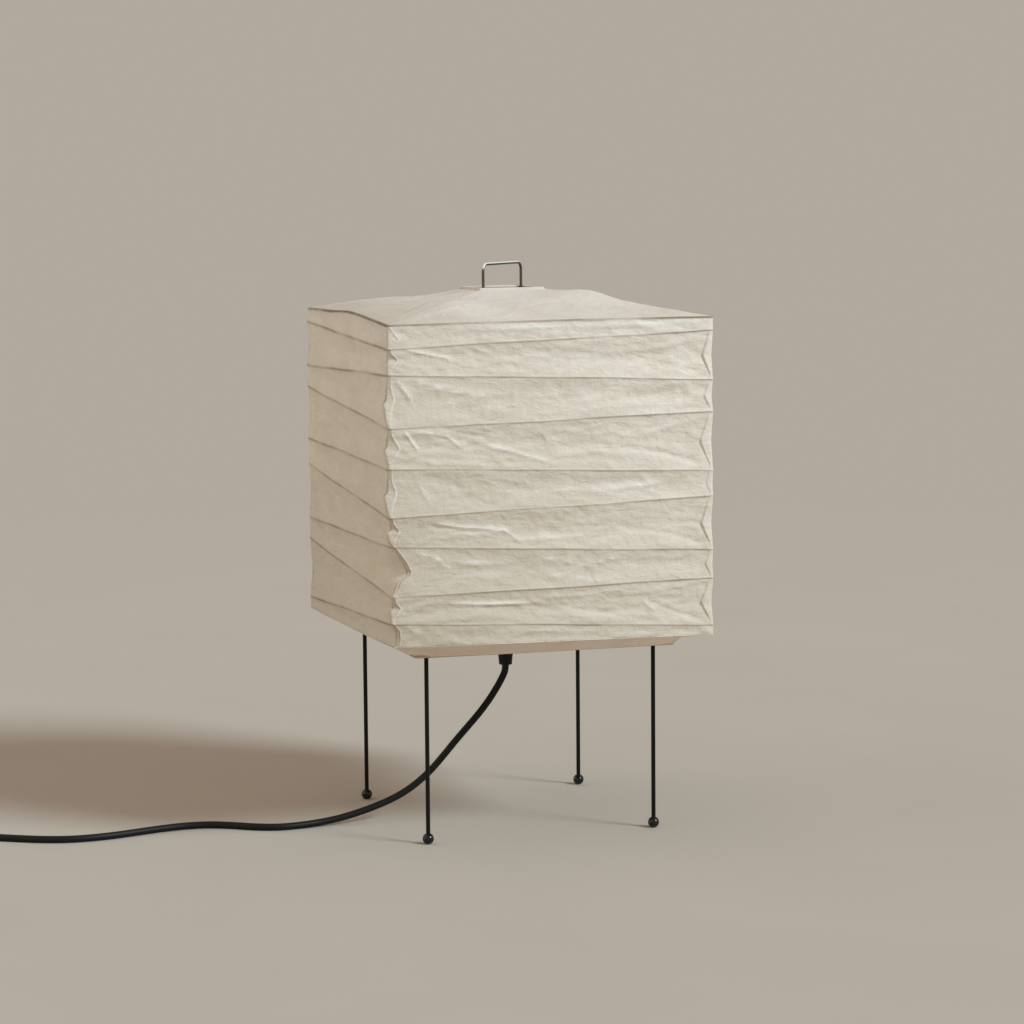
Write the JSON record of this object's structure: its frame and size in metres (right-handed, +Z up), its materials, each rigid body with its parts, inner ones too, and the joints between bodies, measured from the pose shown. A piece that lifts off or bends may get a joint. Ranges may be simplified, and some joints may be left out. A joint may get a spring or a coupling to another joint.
{
  "type": "paper table lamp",
  "caption": "Square table lamp with a pleated paper shade over sloping wire ribs, wire handle, thin ball-footed legs and a corded in-line switch.",
  "frame": {"origin": "on the floor, midway between the four feet", "axes": "+Z up; -Y is the lit front face of the shade, -X the side that the cord leaves towards"},
  "size_m": [0.6652, 0.233, 0.4],
  "materials": {
    "black_steel": "satin black enamel",
    "black_gloss": "gloss black",
    "screw_steel": "zinc plated",
    "bright_wire": "bright drawn wire",
    "brass": "plain brass",
    "copper": "tinned copper",
    "cord_black": "matte black sheath",
    "holder_white": "moulded, satin",
    "ceramic_white": "unglazed",
    "bulb_metal": "plain",
    "bulb_black": "moulded glass black",
    "opal_glass": "frosted white",
    "rim_wire": "thin wire wrapped in tan paper",
    "washi": "handmade mulberry paper, creased",
    "washi_roof": "handmade mulberry paper, stretched",
    "washi_hem": "handmade mulberry paper, folded under",
    "plastic_black": "moulded, fine grain"
  },
  "bodies": {
    "base": {"leg_front_left": "black_steel", "leg_front_right": "black_steel", "leg_back_right": "black_steel", "leg_back_left": "black_steel", "foot_front_left": "black_gloss", "foot_front_right": "black_gloss", "foot_back_right": "black_gloss", "foot_back_left": "black_gloss", "leg_sockets": "black_steel", "leg_grub_screws": "screw_steel", "frame_side_rods": "black_steel", "frame_cross_rods": "black_steel", "hub_plate": "black_steel", "stretcher_sockets": "black_steel", "stretcher_handle": "bright_wire", "threaded_tube": "brass", "lower_nut": "screw_steel", "spring_washer": "screw_steel", "upper_nut": "screw_steel", "cord_gland": "cord_black", "holder_cap": "holder_white", "terminal_block": "ceramic_white", "terminal_screws": "brass", "centre_contact": "brass", "screw_shell": "brass", "holder_sleeve": "holder_white", "cord_inner_end": "cord_black", "core_wires": "copper", "cord": "cord_black", "cord_coil": "cord_black", "cord_tail": "cord_black", "coil_tie": "cord_black", "switch_base": "plastic_black", "switch_cover": "plastic_black", "switch_screws": "screw_steel", "plug_body": "plastic_black", "plug_blades": "brass"},
    "bulb_seat": {"bulb_contact": "bulb_metal"},
    "bulb": {"bulb_insulator": "bulb_black", "bulb_base": "bulb_metal", "bulb_glass": "opal_glass", "bulb_filament": "bulb_metal"},
    "shade": {"collar_wire": "rim_wire", "top_rim_wire": "rim_wire", "roof_paper": "washi_roof", "wall_paper": "washi", "rib_1": "rim_wire", "rib_2": "rim_wire", "rib_3": "rim_wire", "rib_4": "rim_wire", "rib_5": "rim_wire", "rib_6": "rim_wire", "rib_7": "rim_wire", "rib_8": "rim_wire"},
    "hem": {"bottom_rim_wire": "rim_wire", "hem_paper": "washi_hem", "hem_wire": "rim_wire"},
    "rocker": {"switch_rocker": "plastic_black"}
  },
  "joints": [
    {"name": "shade_lift", "type": "slide", "parent": "base", "child": "shade", "axis": [0, 0, 1], "range_m": [0, 0.285]},
    {"name": "shade_gather", "type": "slide", "parent": "shade", "child": "hem", "axis": [0, 0, 1], "range_m": [0, 0.155], "deforming": ["wall_paper", "rib_1", "rib_2", "rib_3", "rib_4", "rib_5", "rib_6", "rib_7", "rib_8"]},
    {"name": "bulb_rise", "type": "slide", "parent": "base", "child": "bulb_seat", "axis": [0, 0, 1], "range_m": [0, 0.015]},
    {"name": "bulb_turn", "type": "hinge", "parent": "bulb_seat", "child": "bulb", "pos_m": [0, 0, 0.2], "axis": [0, 0, 1], "range_deg": [0, 1440]},
    {"name": "switch_rock", "type": "hinge", "parent": "base", "child": "rocker", "pos_m": [-0.44, 0.042, 0.0144], "axis": [0, -1, 0], "range_deg": [0, 16]}
  ],
  "couplings": [
    {"joint": "bulb_rise", "follows": "bulb_turn", "m_per_rad": 0.00057773}
  ]
}
